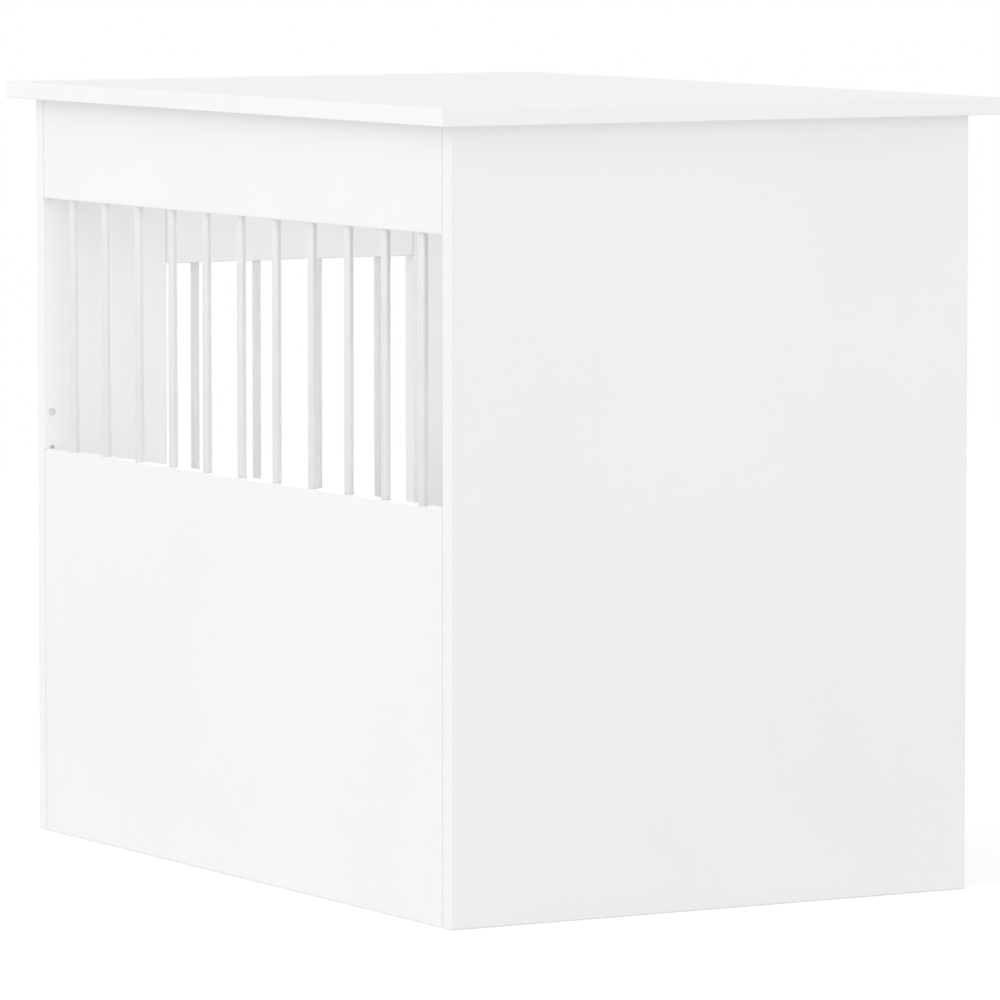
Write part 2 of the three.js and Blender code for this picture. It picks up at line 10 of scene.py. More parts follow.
import bpy
import numpy as np
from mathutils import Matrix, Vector

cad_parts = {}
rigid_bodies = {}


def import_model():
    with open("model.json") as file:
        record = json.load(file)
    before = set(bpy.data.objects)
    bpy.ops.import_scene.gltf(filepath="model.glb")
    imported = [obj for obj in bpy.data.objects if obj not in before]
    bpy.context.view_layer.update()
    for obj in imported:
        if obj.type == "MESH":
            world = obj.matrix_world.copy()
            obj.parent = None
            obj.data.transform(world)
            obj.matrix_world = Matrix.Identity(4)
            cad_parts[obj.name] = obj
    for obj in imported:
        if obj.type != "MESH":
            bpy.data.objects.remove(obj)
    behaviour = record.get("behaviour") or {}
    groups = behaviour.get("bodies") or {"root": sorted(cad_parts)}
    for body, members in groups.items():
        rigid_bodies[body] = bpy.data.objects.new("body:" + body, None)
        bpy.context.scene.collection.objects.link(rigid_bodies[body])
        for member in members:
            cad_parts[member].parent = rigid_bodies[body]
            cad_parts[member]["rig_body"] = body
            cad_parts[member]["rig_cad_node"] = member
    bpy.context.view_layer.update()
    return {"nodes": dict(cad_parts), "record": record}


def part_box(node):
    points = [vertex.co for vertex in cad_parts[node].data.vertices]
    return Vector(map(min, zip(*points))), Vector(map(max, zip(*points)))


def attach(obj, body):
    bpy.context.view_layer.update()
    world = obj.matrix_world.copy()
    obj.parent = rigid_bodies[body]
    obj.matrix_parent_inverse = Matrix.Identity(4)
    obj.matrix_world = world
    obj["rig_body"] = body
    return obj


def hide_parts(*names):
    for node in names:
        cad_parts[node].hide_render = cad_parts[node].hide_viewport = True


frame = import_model()

MM = 0.001
NODES = frame["nodes"]
BODY_OF = {node: body for body, members in frame["record"]["behaviour"]["bodies"].items()
           for node in members}

# ---------------------------------------------------------------- sizes that the frame doesn't hold

BAR_SIDES = 40  # facets round a bar
ROUND_SIDES = 48  # facets round a pin, the bolt, its knob and a cup
CORNER_STEPS = 4  # facets along a rounded corner of a profile
DOME_STEPS = 10  # and from the rim of a dome to its top
CROSS_STEPS = 3  # points from corner to corner of a cross recess
SHARP_ANGLE = math.radians(35)  # edges of a new surface that are steeper stay sharp
BAR_END_EASE = 0.3 * MM  # rounding of a bar's cut ends
TURNED_EASE = 0.35 * MM  # rounding of the edges of pins, bolt and knob
PLATE_THICKNESS = 1.2 * MM  # of the hinge leaves, the bolt's base and the keeper

# Boards
CORE_DEPTH = 0.7 * MM  # deeper than this inside a board, a surface is its bare core
CORE_FADE = 0.2 * MM
BAND_SEAM = 0.8 * MM  # from a board's edge to the line where its edge band meets the face
SEAM_REACH = 0.2 * MM  # how far that line reaches to either side
GROOVE = 0.65 * MM  # how far from a joint between two flush boards its painted shadow line reaches
GROOVE_FADE = 0.1 * MM
TONE_PATCH = 300 * MM  # size of the places where the white drifts
SHEEN_PATCH = 90 * MM  # and of those where the gloss does
PEARL_GRAIN = 1.2 * MM
PEARL_HEIGHT = 0.02 * MM
CHIP = 2.2 * MM  # the core's chips are 1 to 3 mm long
CHIP_RELIEF = 12.0  # height of the chips, as a multiple of the pearl grain's
BOARD_ROUGHNESS = (0.46, 0.5)
CORE_ROUGHER = 0.4  # what the bare core's roughness is over the skin's

# Metals and plastic
TARNISH_PATCH = 30 * MM  # size of the paler and darker places
MARKS_SHARE = 0.7  # of a metal's tone that follows its tool marks, while the rest follows the patches
METAL_SWAY = 0.03  # how far a metal's roughness strays to either side
PLASTIC_SWAY = 0.04
MOULD_PITS = 0.3 * MM  # from pit to pit of a mould's spark-eroded wall

# Most values of a noise texture lie in the narrow band, and nearly all in the wide one.
NARROW_BAND = (0.35, 0.65)
WIDE_BAND = (0.3, 0.7)

# Pressed steel, copied from its solids
WELD_REACH = 0.002 * MM
FLAT_ANGLE = math.radians(1)  # faces that meet at less are joined to one
EDGE_ANGLE = math.radians(40)  # edges steeper than this are rounded
SOLID_EASE = 0.25 * MM  # and by this much
EASE_STEPS = 3

# A cross-recess head has a profile of radius and height over the face round it, from its foot to the edge of
# the recess, and a cross: half length and half width of the arms, and depth.
CAM_PROFILE = np.array([(7.35, -12), (7.35, -0.4), (7.23, -0.12), (6.95, 0), (4.6, 0)]) * MM
CAM_CROSS = np.array([3.4, 0.9, 2.2]) * MM
SCREW_PROFILE = np.array([(1.6, -1.2), (3.05, -0.1), (3.2, 0.02), (2.88, 0.14), (2.24, 0.25),
                          (1.984, 0.3)]) * MM
SCREW_CROSS = np.array([1.85, 0.5, 0.9]) * MM
# Rings of a recess, from its chamfered rim to its floor: scale of the cross, and share of the depth.
RECESS_RINGS = ((1.06, 0.0), (1.0, 0.08), (0.8, 1.0))

# Cam locks: where the carcass's boards are bored for them
CAM_SUNK = 0.3 * MM  # from the board's face to the face of a cam
CAM_SETBACK = 34 * MM  # from a joint to the cams of its bolts
CAM_EDGE = 32 * MM  # from a board's long edge
CAM_SPREAD = 400 * MM  # between the cams under the top in a side rail
CAM_SPREAD_BACK = 300 * MM  # and in the back panel
CAM_SPREAD_FLOOR = 440 * MM  # between the cams along one side of the floor panel
CAM_END = 30 * MM  # from either end of a post to the cams of the rails over and under the door

# Hinge pins and the barrel bolt
PIN_RADIUS = 1.5 * MM
PIN_HEAD = 1.4 * MM  # height of a head
BOLT_RADIUS = 3 * MM
BOLT_NOSE = 1.5 * MM  # length of the rounded tip
KNOB_FROM_TAIL = 27 * MM  # from the bolt's tail to the middle of its knob
KNOB_STEM_RADIUS = 2.5 * MM
KNOB_HEAD = 5.5 * MM  # height of the head, of which its domed crown is the upper part
KNOB_CROWN = 1.6 * MM

# White plastic cups that line the spare drillings of the posts: height above the floor, and diameter
SPARE_DRILLINGS = ((349 * MM, 5 * MM), (381 * MM, 8 * MM))
CUP_WALL = 0.5 * MM
CUP_DEPTH = 2.4 * MM
CUP_PLAY = 0.06 * MM  # between a cup and its drilling
CUP_LIP = 0.2 * MM  # rounding of its edges

# Where the screws sit in their plates
HINGE_SCREW_EDGE = 9 * MM  # from a leaf's ends
HINGE_SCREW_INSET = 6.5 * MM  # from its free edge
HINGE_SCREW_STAGGER = 4 * MM  # the middle screw is this much nearer to the pin
PLATE_SCREW_INSET = 4.8 * MM  # from the ends of the bolt's base and the keeper
BASE_SCREW_DROP = 4.3 * MM  # from the base's long edges

# The photograph's camera, fitted to the corners of the table: its place, where it looks, and its lens
CAMERA_PLACE = (3.3913, 5.9032, 0.9078)
CAMERA_YAW = 29.962  # degrees from the -Y direction towards -X
CAMERA_TILT = 4.953  # degrees down
CAMERA_LENS = 279.03  # mm
CAMERA_SENSOR = 36  # mm
CAMERA_REACH = 200

FLOOR_HALF = 4.0
FLOOR_ALBEDO = 0.86
FLOOR_GLOW = 0.24
DOME_STRENGTH = 0.71
AIM = np.array([0, 0, 0.34])  # the middle of the table, at which the softboxes look

# Softboxes: azimuth and elevation in degrees, distance, side, and the light that reaches a surface that faces
# the lamp, as a share of what makes a white surface read as white.
SOFTBOXES = {
    "side": (105, 17, 14.0, 8.0, 0.132),
    "high_side": (120, 45, 12.0, 8.0, 0.08),
    "back": (170, 12, 14.0, 10.0, 0.153),
    "front_right": (25, 20, 14.0, 8.0, 0.19),
    "left": (-95, 20, 14.0, 8.0, 0.19),
}

# Soft panels inside the cabin: middle, the way that the panel's back faces, width, depth and watts. They
# stand for the light that a white room sends in through the windows from all round, and aren't seen.
CABIN_PANELS = {
    "cabin_ceiling": ((0, 0, 0.655), (0, 0.001, 1), 0.4, 0.42, 0.41),
    "cabin_back": ((0, 0.35, 0.3), (0, 1, 0.001), 0.44, 0.3, 0.11),
    "cabin_front": ((0, -0.34, 0.5), (0, -1, 0.001), 0.36, 0.2, 0.25),
    "cabin_middle": ((0, 0, 0.25), (0, 0.001, -1), 0.3, 0.5, 0.205),
}


# ---------------------------------------------------------------- colours and nodes

def linear(hex_colour):
    """An sRGB hex colour as linear red, green, blue and an alpha of 1."""
    parts = [int(hex_colour[i:i + 2], 16) / 255 for i in (0, 2, 4)]
    return [c / 12.92 if c <= 0.04045 else ((c + 0.055) / 1.055) ** 2.4 for c in parts] + [1.0]


def add(tree, kind, settings=None, **inputs):
    """Adds one node. settings are its properties, and inputs are values or output sockets: i0 is the first
    input socket, i1 the second, and any other name is the socket's own, with an underscore for a space."""
    node = tree.nodes.new("ShaderNode" + kind)
    for name, value in (settings or {}).items():
        setattr(node, name, value)
    for name, value in inputs.items():
        by_number = name[0] == "i" and name[1:].isdigit()
        socket = node.inputs[int(name[1:]) if by_number else name.replace("_", " ")]
        if isinstance(value, bpy.types.NodeSocket):
            tree.links.new(value, socket)
        else:
            socket.default_value = value
    return node


def new_material(name):
    """An empty node material, and its tree with an output node."""
    material = bpy.data.materials.new(name)
    material.use_nodes = True
    tree = material.node_tree
    tree.nodes.clear()
    output = tree.nodes.new("ShaderNodeOutputMaterial")
    return material, tree, output


def math_node(tree, operation, a, b):
    return add(tree, "Math", {"operation": operation}, i0=a, i1=b).outputs[0]


def vector_node(tree, operation, *vectors):
    inputs = {f"i{i}": vector for i, vector in enumerate(vectors)}
    return add(tree, "VectorMath", {"operation": operation}, **inputs).outputs[0]


def mix_colour(tree, factor, a, b):
    """Colour a where factor is 0 and b where it is 1."""
    return add(tree, "Mix", {"data_type": "RGBA"}, i0=factor, i6=a, i7=b).outputs[2]


def ramp(tree, factor, low, high, to_low=0.0, to_high=1.0):
    """factor from low..high, spread over to_low..to_high and held at both ends."""
    node = add(tree, "MapRange", {"clamp": True}, Value=factor)
    for name, value in (("From Min", low), ("From Max", high), ("To Min", to_low), ("To Max", to_high)):
        node.inputs[name].default_value = value
    return node.outputs[0]


def noise(tree, place, size, detail):
    """Soft noise whose spots are about that size, with that much finer detail."""
    return add(tree, "TexNoise", {"noise_dimensions": "3D"}, Vector=place, Scale=1 / size,
               Detail=detail).outputs["Fac"]


# ---------------------------------------------------------------- finishes

def is_board(node):
    return not ("bar_" in node or node.startswith(("hinge_", "latch_")))


def flush_joints(node):
    """The boxes, as (low, high), in which a board touches the other boards of its body along an edge of its
    own. Each is the overlap of the two boards' boxes, grown by the groove's reach on every side."""
    low, high = (np.array(corner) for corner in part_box(node))
    joints = []
    for other in filter(is_board, NODES):
        if other == node or BODY_OF[other] != BODY_OF[node]:
            continue
        other_low, other_high = (np.array(corner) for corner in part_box(other))
        start, end = np.maximum(low, other_low), np.minimum(high, other_high)
        thin = end - start < GROOVE / 2
        touching = thin.sum() == 1 and (end - start > -GROOVE / 2).all()
        flush = (np.minimum(start - low, high - end)[~thin] < GROOVE).any()
        if touching and flush:
            joints.append((start - GROOVE, end + GROOVE))
    return joints


def inside_box(tree, place, low, high):
    """1 where place lies in the box, and 0 outside it."""
    away = vector_node(tree, "ABSOLUTE", vector_node(tree, "SUBTRACT", place, tuple((low + high) / 2)))
    past = vector_node(tree, "SUBTRACT", away, tuple((high - low) / 2))
    x, y, z = add(tree, "SeparateXYZ", None, i0=past).outputs
    furthest = math_node(tree, "MAXIMUM", math_node(tree, "MAXIMUM", x, y), z)
    return math_node(tree, "LESS_THAN", furthest, 0.0)


def melamine(node):
    """White melamine paper pressed on particle board, with a white edge band.

    What it gives the eye: a flat, neutral white with a faint pearl grain and a soft satin sheen, a hairline
    where the edge band meets the face, a painted shadow line in the groove between two flush boards, and in
    the drilled holes the pale chips of the core. Depth inside the board tells the core from the skin, and
    depth from a narrow edge gives the band's line."""
    low, high = (np.array(corner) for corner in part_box(node))
    thin = int(np.argmin(high - low))
    material, tree, output = new_material("white_melamine_" + node)
    place = add(tree, "TexCoord").outputs["Object"]
    from_low = vector_node(tree, "SUBTRACT", place, tuple(low))
    from_high = vector_node(tree, "SUBTRACT", tuple(high), place)
    nearest = vector_node(tree, "MINIMUM", from_low, from_high)
    sides = add(tree, "SeparateXYZ", None, i0=nearest)
    from_band = math_node(tree, "MINIMUM", *(sides.outputs[i] for i in range(3) if i != thin))
    depth = math_node(tree, "MINIMUM", from_band, sides.outputs[thin])
    core = ramp(tree, depth, CORE_DEPTH, CORE_DEPTH + CORE_FADE)

    # Pressing leaves a tone that drifts by a trace over a few hundred millimetres.
    drift = noise(tree, place, TONE_PATCH, 2.0)
    white = mix_colour(tree, ramp(tree, drift, *NARROW_BAND), linear("F5F5F5"), linear("F3F3F3"))

    # A point on an edge lies near two sides at once: the second smallest of its three depths is small.
    a, b, c = sides.outputs
    second = math_node(tree, "MAXIMUM", math_node(tree, "MINIMUM", a, b),
                       math_node(tree, "MINIMUM", math_node(tree, "MAXIMUM", a, b), c))
    # Painted shade: where two flush boards meet, their chamfers are coloured grey (E2E2E2) to stand for the
    # shadow in the groove between them.
    joint = 0.0
    for start, end in flush_joints(node):
        joint = math_node(tree, "MAXIMUM", inside_box(tree, place, start, end), joint)
    painted_groove_shade = math_node(tree, "MULTIPLY", ramp(tree, second, GROOVE - GROOVE_FADE, GROOVE, 1.0, 0.0), joint)

    # The real line is 0.1 mm wide and is drawn 0.4 mm wide, so that it shows at all.
    seam = math_node(tree, "MULTIPLY", ramp(tree, from_band, BAND_SEAM - SEAM_REACH, BAND_SEAM),
                     ramp(tree, from_band, BAND_SEAM, BAND_SEAM + SEAM_REACH, 1.0, 0.0))
    banded = mix_colour(tree, seam, white, linear("DFDFDF"))
    skin = mix_colour(tree, painted_groove_shade, banded, linear("E2E2E2"))

    chips = add(tree, "TexVoronoi", {"feature": "F1"}, Vector=place, Scale=1 / CHIP)
    chip_tone = add(tree, "SeparateColor", None, i0=chips.outputs["Color"]).outputs[0]
    bare = mix_colour(tree, chip_tone, linear("D5D0C8"), linear("E2DFD9"))
    colour = mix_colour(tree, core, skin, bare)

    # The pearl grain of the press plate is about 0.4 mm, too fine for the render, so it is drawn at 1.2 mm.
    pearl = noise(tree, place, PEARL_GRAIN, 3.0)
    sheen = noise(tree, place, SHEEN_PATCH, 2.0)
    rough = math_node(tree, "ADD", ramp(tree, sheen, *WIDE_BAND, *BOARD_ROUGHNESS),
                      math_node(tree, "MULTIPLY", core, CORE_ROUGHER))
    bare_relief = math_node(tree, "MULTIPLY", math_node(tree, "MULTIPLY", chip_tone, core), CHIP_RELIEF)
    height = math_node(tree, "ADD", pearl, bare_relief)
    bump = add(tree, "Bump", None, Strength=0.25, Distance=PEARL_HEIGHT, Height=height)
    shader = add(tree, "BsdfPrincipled", None, Base_Color=colour, Roughness=rough, IOR=1.5,
                 Normal=bump.outputs[0])
    tree.links.new(shader.outputs[0], output.inputs["Surface"])
    return material


def metal(name, pale, dark, roughness, grain, along, bump_depth, metallic=1.0):
    """A bare, plated or lacquered metal. pale and dark are its tones, grain is the size of its tool marks in
    metres, and along stretches them: (1, 1, 12) draws lines 12 times as long along Z as across."""
    material, tree, output = new_material(name)
    place = add(tree, "TexCoord").outputs["Object"]
    scale = tuple(1 / (grain * stretch) for stretch in along)
    lines = add(tree, "Mapping", None, Vector=place, Scale=scale).outputs[0]
    marks = noise(tree, lines, 1.0, 2.0)
    tarnish = noise(tree, place, TARNISH_PATCH, 2.0)
    tone = math_node(tree, "ADD", math_node(tree, "MULTIPLY", marks, MARKS_SHARE),
                     math_node(tree, "MULTIPLY", tarnish, 1 - MARKS_SHARE))
    colour = mix_colour(tree, ramp(tree, tone, *NARROW_BAND), linear(dark), linear(pale))
    rough = ramp(tree, marks, *WIDE_BAND, roughness - METAL_SWAY, roughness + METAL_SWAY)
    bump = add(tree, "Bump", None, Strength=0.5, Distance=bump_depth, Height=marks)
    shader = add(tree, "BsdfPrincipled", None, Base_Color=colour, Metallic=metallic, Roughness=rough,
                 Normal=bump.outputs[0])
    tree.links.new(shader.outputs[0], output.inputs["Surface"])
    return material


def moulded_plastic(name, tone, roughness):
    """A moulded plastic in one colour. Its skin has the fine, shallow texture of the spark-eroded mould,
    about 0.3 mm from pit to pit."""
    material, tree, output = new_material(name)
    place = add(tree, "TexCoord").outputs["Object"]
    pits = noise(tree, place, MOULD_PITS, 1.0)
    bump = add(tree, "Bump", None, Strength=0.3, Distance=0.01 * MM, Height=pits)
    rough = ramp(tree, pits, *WIDE_BAND, roughness - PLASTIC_SWAY, roughness + PLASTIC_SWAY)
    shader = add(tree, "BsdfPrincipled", None, Base_Color=linear(tone), Roughness=rough, IOR=1.49,
                 Normal=bump.outputs[0])
    tree.links.new(shader.outputs[0], output.inputs["Surface"])
    return material


# Steel rod with a silver-grey satin lacquer, whose pigment scatters half of the light: a soft grey with one
# broad streak, and the fine lines of the drawn rod under it. They are 0.1 mm apart on the real rod and drawn
# 0.4 mm apart here, so that they show.
lacquered_steel = metal("satin_lacquered_steel_rod", "E3E3E3", "DBDBDB", 0.45, 0.4 * MM, (1, 1, 60),
                        0.01 * MM, metallic=0.5)

# Nickel plate on pressed steel: bright, faintly warm, with the grain of the rolled sheet along its length.
nickel_plate = metal("nickel_plated_steel", "DAD8D3", "CFCCC6", 0.3, 0.25 * MM, (1, 1, 14), 0.002 * MM)

# Zinc die casting: duller and bluer, with the soft mottle of a tumbled casting.
die_cast_zinc = metal("die_cast_zinc", "BDBFC2", "A6A9AD", 0.42, 0.8 * MM, (1, 1, 1), 0.01 * MM)

# Zinc plate on a steel screw: pale, a little blue, and smoother than the casting.
zinc_plate = metal("zinc_plated_steel", "CFD3D6", "C0C4C8", 0.3, 0.5 * MM, (1, 1, 1), 0.004 * MM)

# White polypropylene, moulded: a shade greyer than the board, with a waxy, wide highlight.
white_polypropylene = moulded_plastic("white_polypropylene", "EFEFEF", 0.4)


# ---------------------------------------------------------------- surfaces

def mesh_object(name, points, faces, material, smooth=True):
    """An object at the origin with the given vertices and faces."""
    mesh = bpy.data.meshes.new(name)
    mesh.from_pydata(points.tolist(), [], [list(map(int, face)) for face in faces])
    mesh.validate()
    thing = bpy.data.objects.new(name, mesh)
    bpy.context.scene.collection.objects.link(thing)
    mesh.materials.append(material)
    if smooth:
        mesh.shade_smooth()
        mesh.set_sharp_from_angle(angle=SHARP_ANGLE)
    return thing


def turned_surface(profile, sides):
    """A surface of revolution about Z: point (r cos a, r sin a, s) for each profile point (r, s) and each of
    the angles a. The profile starts and ends on the axis, and each of its two poles is one vertex."""
    profile = np.asarray(profile, float)
    angle = np.arange(sides) * (2 * math.pi / sides)
    inner = profile[1:-1]
    ring = np.stack([np.cos(angle), np.sin(angle), np.zeros(sides)], axis=1)
    grid = inner[:, None, :1] * ring[None] + inner[:, None, 1:] * np.array([0.0, 0.0, 1.0])
    points = np.concatenate([[[0, 0, profile[0, 1]]], grid.reshape(-1, 3), [[0, 0, profile[-1, 1]]]])
    first = 1 + np.arange(len(inner))[:, None] * sides + np.arange(sides)[None]
    after = np.roll(first, -1, axis=1)
    quads = np.stack([first[:-1], after[:-1], after[1:], first[1:]], axis=-1).reshape(-1, 4)
    last = len(points) - 1
    bottom = np.stack([after[0], first[0], np.zeros(sides, int)], axis=1)
    top = np.stack([first[-1], after[-1], np.full(sides, last)], axis=1)
    return points, [*bottom, *quads, *top]


def rounded(profile, radius):
    """The profile with each inner corner replaced by an arc of about that radius, or of 0.45 of a short leg.
    The arc is the quadratic curve (1-t)^2 a + 2t(1-t) corner + t^2 b between points a and b on the legs."""
    profile = np.asarray(profile, float)
    result = [profile[0]]
    t = np.linspace(0, 1, CORNER_STEPS + 1)[:, None]
    for before, corner, after in zip(profile[:-2], profile[1:-1], profile[2:]):
        legs = [(end - corner) / np.linalg.norm(end - corner) for end in (before, after)]
        reach = [min(radius, 0.45 * np.linalg.norm(end - corner)) for end in (before, after)]
        a, b = (corner + leg * r for leg, r in zip(legs, reach))
        result.extend((1 - t) ** 2 * a + 2 * t * (1 - t) * corner + t ** 2 * b)
    result.append(profile[-1])
    return result


def dome(radius, rim, height):
    """Profile points of a quarter ellipse, (radius cos t, rim + height sin t), from its rim to the axis."""
    t = np.linspace(0, math.pi / 2, DOME_STEPS + 1)[:-1]
    return [*np.stack([radius * np.cos(t), rim + height * np.sin(t)], axis=1), (0.0, rim + height)]


def placed(points, centre, axis="z"):
    """Points made about +Z, with that direction turned to axis and the origin moved to centre."""
    turns = {
        "z": np.eye(3),
        "-z": np.diag([1.0, -1.0, -1.0]),
        "x": np.array([[0, 0, 1], [1, 0, 0], [0, 1, 0.0]]),
        "-x": np.array([[0, 0, -1], [1, 0, 0], [0, -1, 0.0]]),
        "y": np.array([[1, 0, 0], [0, 0, 1], [0, -1, 0.0]]),
        "-y": np.array([[1, 0, 0], [0, 0, -1], [0, 1, 0.0]]),
    }
    return points @ turns[axis].T + np.asarray(centre)


def ride_with(thing, node, stands_for=True):
    """thing moves with that node's body, and may stand for the node."""
    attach(thing, BODY_OF[node])
    if stands_for:
        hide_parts(node)


def middle(node):
    """The middle and the size of a node's box."""
    low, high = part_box(node)
    return np.array(low + high) / 2, np.array(high - low)


# ---------------------------------------------------------------- boards

def finish_boards():
    for name in filter(is_board, NODES):
        NODES[name].data.materials.clear()
        NODES[name].data.materials.append(melamine(name))


# ---------------------------------------------------------------- bars

def make_bars():
    """Each bar is a turned rod: radius r along its whole length, with eased ends."""
    for name in NODES:
        if "bar_" not in name:
            continue
        centre, size = middle(name)
        radius, half = size[0] / 2, size[2] / 2
        profile = rounded([(0, -half), (radius, -half), (radius, half), (0, half)], BAR_END_EASE)
        points, faces = turned_surface(profile, BAR_SIDES)
        rod = mesh_object("rod_" + name, placed(points, centre), faces, lacquered_steel)
        ride_with(rod, name)


# ---------------------------------------------------------------- pressed and turned hardware

def refined_copy(node, material):
    """A copy of a solid with its doubles merged and its edges rounded, which stands for it."""
    thing = NODES[node].copy()
    thing.data = NODES[node].data.copy()
    thing.name = "fine_" + node
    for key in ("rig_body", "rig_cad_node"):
        if key in thing:
            del thing[key]
    thing.parent = None
    bpy.context.scene.collection.objects.link(thing)
    weld = thing.modifiers.new("merge doubles", "WELD")
    weld.merge_threshold = WELD_REACH
    flat = thing.modifiers.new("join flat faces", "DECIMATE")
    flat.decimate_type = "DISSOLVE"
    flat.angle_limit = FLAT_ANGLE
    round_over = thing.modifiers.new("ease edges", "BEVEL")
    round_over.width = SOLID_EASE
    round_over.segments = EASE_STEPS
    round_over.limit_method = "ANGLE"
    round_over.angle_limit = EDGE_ANGLE
    round_over.use_clamp_overlap = True
    even = thing.modifiers.new("keep flat faces flat", "WEIGHTED_NORMAL")
    even.mode = "FACE_AREA"
    even.keep_sharp = True
    thing.data.materials.clear()
    thing.data.materials.append(material)
    thing.data.shade_smooth()
    thing.data.set_sharp_from_angle(angle=EDGE_ANGLE)
    ride_with(thing, node)


def make_hinges():
    for level in ("lower", "upper"):
        refined_copy(f"hinge_{level}_post_leaf", nickel_plate)
        refined_copy(f"hinge_{level}_door_leaf", nickel_plate)
        make_pin(f"hinge_{level}_pin")
        for side, hand in (("post", -1), ("door", 1)):
            hinge_screws(f"hinge_{level}_{side}_leaf", hand)


def make_pin(node):
    """A shank with a flat, eased head at each end, turned about Z."""
    centre, size = middle(node)
    head, half = size[0] / 2, size[2] / 2
    shank = half - PIN_HEAD
    profile = rounded([(0, -half), (head, -half), (head, -shank), (PIN_RADIUS, -shank), (PIN_RADIUS, shank),
                       (head, shank), (head, half), (0, half)], TURNED_EASE)
    points, faces = turned_surface(profile, ROUND_SIDES)
    pin = mesh_object("pin_" + node, placed(points, centre), faces, nickel_plate)
    ride_with(pin, node)


def make_bolt():
    """The bolt's round bar along X, and its knob: a stem and a mushroom head turned about Y. The bar's nose
    and the head's crown are quarter ellipses."""
    node = "latch_bolt"
    low, high = (np.array(corner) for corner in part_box(node))
    head_radius = (high[2] - low[2]) / 2
    axis_y, axis_z = high[1] - BOLT_RADIUS, (low[2] + high[2]) / 2
    tail = rounded([(0, low[0]), (BOLT_RADIUS, low[0]), (BOLT_RADIUS, high[0] - BOLT_NOSE)], TURNED_EASE)
    bar = [*tail[:-1], *dome(BOLT_RADIUS, high[0] - BOLT_NOSE, BOLT_NOSE)]
    bar_points, bar_faces = turned_surface(bar, ROUND_SIDES)
    bar_points = placed(bar_points, (0, axis_y, axis_z), "x")
    knob_x = low[0] + KNOB_FROM_TAIL
    top = axis_y - low[1]
    shoulder = top - KNOB_HEAD
    stem = rounded([(0, 0), (KNOB_STEM_RADIUS, 0), (KNOB_STEM_RADIUS, shoulder), (head_radius, shoulder),
                    (head_radius, top - KNOB_CROWN)], TURNED_EASE)
    knob = [*stem[:-1], *dome(head_radius, top - KNOB_CROWN, KNOB_CROWN)]
    knob_points, knob_faces = turned_surface(knob, ROUND_SIDES)
    knob_points = placed(knob_points, (knob_x, axis_y, axis_z), "-y")
    points = np.concatenate([bar_points, knob_points])
    shifted = [tuple(int(i) + len(bar_points) for i in face) for face in knob_faces]
    bolt = mesh_object("bolt_and_knob", points, [*bar_faces, *shifted], nickel_plate)
    ride_with(bolt, node)


def make_latch():
    refined_copy("latch_base", nickel_plate)
    refined_copy("latch_keeper", nickel_plate)
    make_bolt()
    centre, size = middle("latch_base")
    for i in (-1, 1):
        for j in (-1, 1):
            x = centre[0] + i * (size[0] / 2 - PLATE_SCREW_INSET)
            z = centre[2] + j * (size[2] / 2 - BASE_SCREW_DROP)
            make_screw("latch_base", x, z, turn=0.6 * i + 0.3 * j)
    centre, size = middle("latch_keeper")
    for j in (-1, 1):
        make_screw("latch_keeper", centre[0], centre[2] + j * (size[2] / 2 - PLATE_SCREW_INSET), turn=0.4 * j)


# ---------------------------------------------------------------- screws and cam locks

def cross_outline(angle, arm, width):
    """Distance from the middle of a plus sign to its outline at each angle. arm is its arms' half length and
    width their half width: the larger of the two bars' distances, min(arm / |cos|, width / |sin|)."""
    c, s = np.abs(np.cos(angle)) + 1e-9, np.abs(np.sin(angle)) + 1e-9
    return np.maximum(np.minimum(arm / c, width / s), np.minimum(arm / s, width / c))


def cross_angles(arm, width):
    """Angles round the circle that hit every corner of a plus sign, with a few between neighbours."""
    tip = math.atan2(width, arm)
    corners = [q * math.pi / 2 + a for q in range(4) for a in (tip, math.pi / 4, math.pi / 2 - tip)]
    corners.append(corners[0] + 2 * math.pi)
    t = np.arange(CROSS_STEPS) / CROSS_STEPS
    return np.concatenate([a + (b - a) * t for a, b in zip(corners[:-1], corners[1:])])


def driven_head(outside, arm, width, depth):
    """A head with a cross recess, about Z: rings of points at each angle a. A ring of the head is a circle
    of radius r at height s, for each (r, s) of outside, from its foot to its face. A ring of the recess
    follows the plus sign's outline, scaled, from the face down to depth and closed in the middle."""
    angle = cross_angles(arm, width)
    cross = cross_outline(angle, arm, width)
    face = outside[-1][1]
    circles = [(np.full_like(angle, r), s) for r, s in outside]
    recess = [(cross * scale, face - share * depth) for scale, share in RECESS_RINGS]
    rings = [np.stack([r * np.cos(angle), r * np.sin(angle), np.full_like(angle, s)], axis=1)
             for r, s in circles + recess]
    count = len(angle)
    points = np.concatenate([[[0, 0, outside[0][1]]], *rings, [[0, 0, face - depth]]])
    first = 1 + np.arange(len(rings))[:, None] * count + np.arange(count)[None]
    after = np.roll(first, -1, axis=1)
    quads = np.stack([first[:-1], after[:-1], after[1:], first[1:]], axis=-1).reshape(-1, 4)
    foot = np.stack([after[0], first[0], np.zeros(count, int)], axis=1)
    floor = np.stack([first[-1], after[-1], np.full(count, len(points) - 1)], axis=1)
    return points, [*foot, *quads, *floor]


def spun(points, turn):
    """Points turned about Z by that many radians."""
    c, s = math.cos(turn), math.sin(turn)
    return points @ np.array([[c, s, 0], [-s, c, 0], [0, 0, 1.0]])


def make_screw(node, x, z, turn):
    """A countersunk cross-head screw in a plate on the front: its cone fills the plate's countersink. turn is
    the angle at which the driver left it."""
    face_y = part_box("front_post_left")[0][1] - PLATE_THICKNESS
    points, faces = driven_head(SCREW_PROFILE, *SCREW_CROSS)
    name = f"screw_{node}_{round(x / MM)}_{round(z / MM)}"
    screw = mesh_object(name, placed(spun(points, turn), (x, face_y, z), "-y"), faces, zinc_plate)
    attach(screw, BODY_OF[node])


